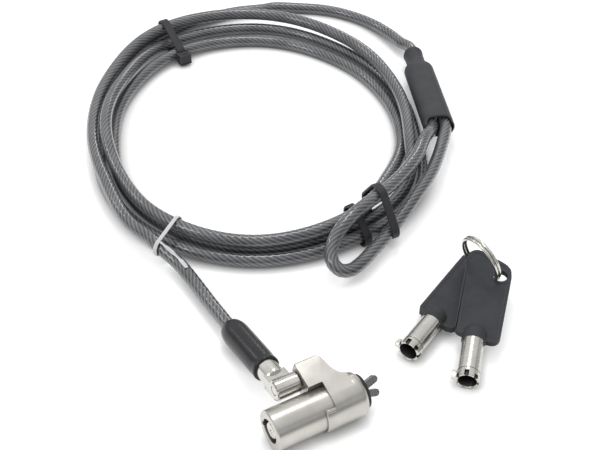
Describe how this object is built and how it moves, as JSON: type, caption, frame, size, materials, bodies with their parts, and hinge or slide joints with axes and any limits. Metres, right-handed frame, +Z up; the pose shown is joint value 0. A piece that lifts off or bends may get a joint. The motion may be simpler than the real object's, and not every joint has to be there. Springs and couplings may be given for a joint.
{
  "type": "laptop cable lock",
  "caption": "Coiled steel cable lock for a laptop's security slot, with a turning keyed lock head, swivel collar, end loop and two tubular keys on a split ring.",
  "frame": {"origin": "centre of the washer's front face, which sits on the laptop's side round its security slot", "axes": "+X along the lock's axis into the laptop, +Z up from the table the lock lies on, +Y toward the coiled cable"},
  "size_m": [0.154, 0.2356, 0.0223],
  "materials": {
    "cable_jacket": "smoky clear jacket over steel wire rope",
    "satin_nickel": "satin nickel plate",
    "nickel": "bright nickel plate",
    "steel": "bare steel",
    "hook_steel": "hardened dark steel",
    "brass": "machined brass",
    "ferrule_metal": "pressed aluminium",
    "boot_rubber": "semi-gloss black moulded rubber",
    "washer_rubber": "matt dark grey rubber",
    "sleeve_plastic": "matt dark grey sleeve",
    "bow_plastic": "fine-textured charcoal plastic",
    "tie_plastic": "black nylon",
    "tie_white": "white coated wire"
  },
  "bodies": {
    "cable": {"knuckle": "nickel", "boot": "boot_rubber", "cable_lead": "cable_jacket", "cable_coil": "cable_jacket", "cable_tail": "cable_jacket", "crimp_sleeve": "sleeve_plastic", "crimp_ferrule": "ferrule_metal", "cable_eye": "cable_jacket", "coil_tie": "tie_plastic", "eye_strap": "tie_plastic", "wire_tie": "tie_white"},
    "head": {"collar": "satin_nickel", "pivot_pin": "nickel", "rubber_washer": "washer_rubber", "circlip": "steel"},
    "barrel": {"hook_carrier": "satin_nickel", "barrel": "satin_nickel", "barrel_pins": "steel", "hook_pin": "steel", "return_spring": "steel", "stator": "brass", "driver_pins": "brass", "pin_springs": "steel"},
    "hook_a": {"hook_upper": "hook_steel"},
    "hook_b": {"hook_lower": "hook_steel"},
    "rod": {"draw_rod": "steel", "drive_pin": "steel", "cam_pin": "steel"},
    "core": {"key_core": "nickel", "cam_sleeve": "steel", "key_pins": "brass"},
    "ring": {"key_ring": "nickel"},
    "key_a": {"key_a_tube": "nickel", "key_a_bow": "bow_plastic"},
    "key_b": {"key_b_tube": "nickel", "key_b_bow": "bow_plastic"}
  },
  "joints": [
    {"name": "head_pivot", "type": "hinge", "parent": "cable", "child": "head", "pos_m": [0, 0.00927, 0.00488], "axis": [1, 0, 0], "range_deg": [-120, 30]},
    {"name": "barrel_spin", "type": "hinge", "parent": "head", "child": "barrel", "pos_m": [0, 0, 0], "axis": [1, 0, 0], "continuous": true},
    {"name": "key_turn", "type": "hinge", "parent": "barrel", "child": "core", "pos_m": [0, 0, 0], "axis": [1, 0, 0], "range_deg": [0, 90]},
    {"name": "draw_slide", "type": "slide", "parent": "barrel", "child": "rod", "axis": [-1, 0, 0], "range_m": [0, 0.003]},
    {"name": "hook_a_turn", "type": "hinge", "parent": "barrel", "child": "hook_a", "pos_m": [-0.004, 0, 0], "axis": [0, -0.8387, 0.5446], "range_deg": [-16, 0]},
    {"name": "hook_b_turn", "type": "hinge", "parent": "barrel", "child": "hook_b", "pos_m": [-0.004, 0, 0], "axis": [0, -0.8387, 0.5446], "range_deg": [0, 16]},
    {"name": "ring_lift", "type": "slide", "parent": "cable", "child": "ring", "axis": [0, 0, 1], "range_m": [0, 0.04]},
    {"name": "key_a_swing", "type": "hinge", "parent": "ring", "child": "key_a", "pos_m": [0.06468, 0.01807, 0.00175], "axis": [-0.0797, -0.0876, 0.993], "range_deg": [0, 60]},
    {"name": "key_b_swing", "type": "hinge", "parent": "ring", "child": "key_b", "pos_m": [0.06349, 0.02392, -0.00384], "axis": [-0.0233, -0.012, -0.9997], "range_deg": [0, 40]}
  ],
  "couplings": [
    {"joint": "key_turn", "follows": "draw_slide", "rad_per_m": 523.6},
    {"joint": "hook_a_turn", "follows": "draw_slide", "rad_per_m": -93.084},
    {"joint": "hook_b_turn", "follows": "draw_slide", "rad_per_m": 93.084}
  ]
}
